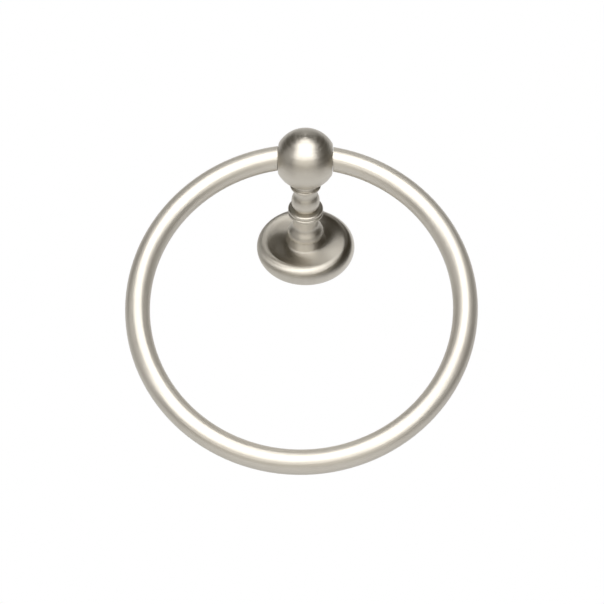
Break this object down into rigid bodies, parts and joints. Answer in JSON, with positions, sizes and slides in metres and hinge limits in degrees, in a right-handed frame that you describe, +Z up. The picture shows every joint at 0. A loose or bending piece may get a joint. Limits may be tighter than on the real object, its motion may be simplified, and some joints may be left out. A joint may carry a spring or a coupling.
{
  "type": "towel ring",
  "caption": "Wall towel ring: a round bar ring swings in the ball head of a turned post on a round dished rosette.",
  "frame": {"origin": "on the wall plane, at the centre of the rosette's back, midway between the bracket's two slots", "axes": "+Z up the wall, +Y into the wall so that the post reaches out along -Y, +X to the right of someone facing the wall"},
  "size_m": [0.1524, 0.0724, 0.1578],
  "materials": {
    "satin_nickel": "satin nickel plate over brass",
    "zinc_steel": "zinc plated steel"
  },
  "bodies": {
    "fixture": {"post": "satin_nickel", "rosette": "satin_nickel", "post_screw": "zinc_steel", "wall_bracket": "zinc_steel", "grub_screw": "zinc_steel"},
    "ring": {"ring": "satin_nickel"}
  },
  "joints": [
    {"name": "ring_swing", "type": "hinge", "parent": "fixture", "child": "ring", "pos_m": [0, -0.05862, 0], "axis": [-1, 0, 0], "range_deg": [0, 224]}
  ]
}
